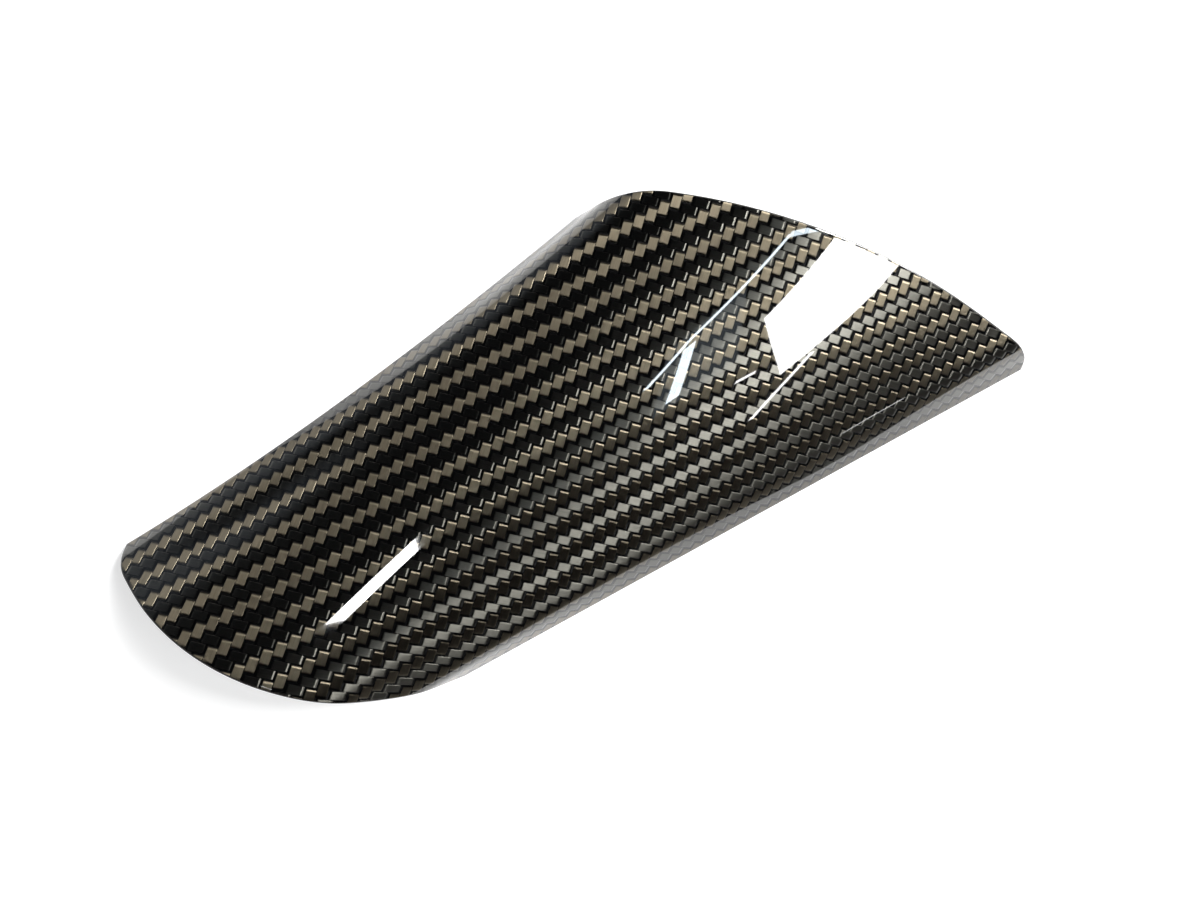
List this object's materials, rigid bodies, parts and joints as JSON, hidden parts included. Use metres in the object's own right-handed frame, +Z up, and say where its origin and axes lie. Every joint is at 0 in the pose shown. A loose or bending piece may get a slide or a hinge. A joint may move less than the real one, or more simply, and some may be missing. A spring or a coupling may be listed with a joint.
{
  "type": "mirror arm cover",
  "caption": "Thin arched cover shell for a car door mirror's arm, with a straight long edge and two swept, open ends, in glossy twill carbon fibre.",
  "frame": {"origin": "centre of the bounding box in plan, at the level of the floor that the rim rests on", "axes": "+X along the straight long edge towards the wide end, +Y across towards the steep far wall, +Z up, out of the convex face"},
  "size_m": [0.1967, 0.0776, 0.0167],
  "materials": {
    "carbon_laminate": "black twill weave under a clear gloss coat"
  },
  "bodies": {
    "root": {"mirror_arm_cover": "carbon_laminate"}
  },
  "joints": []
}
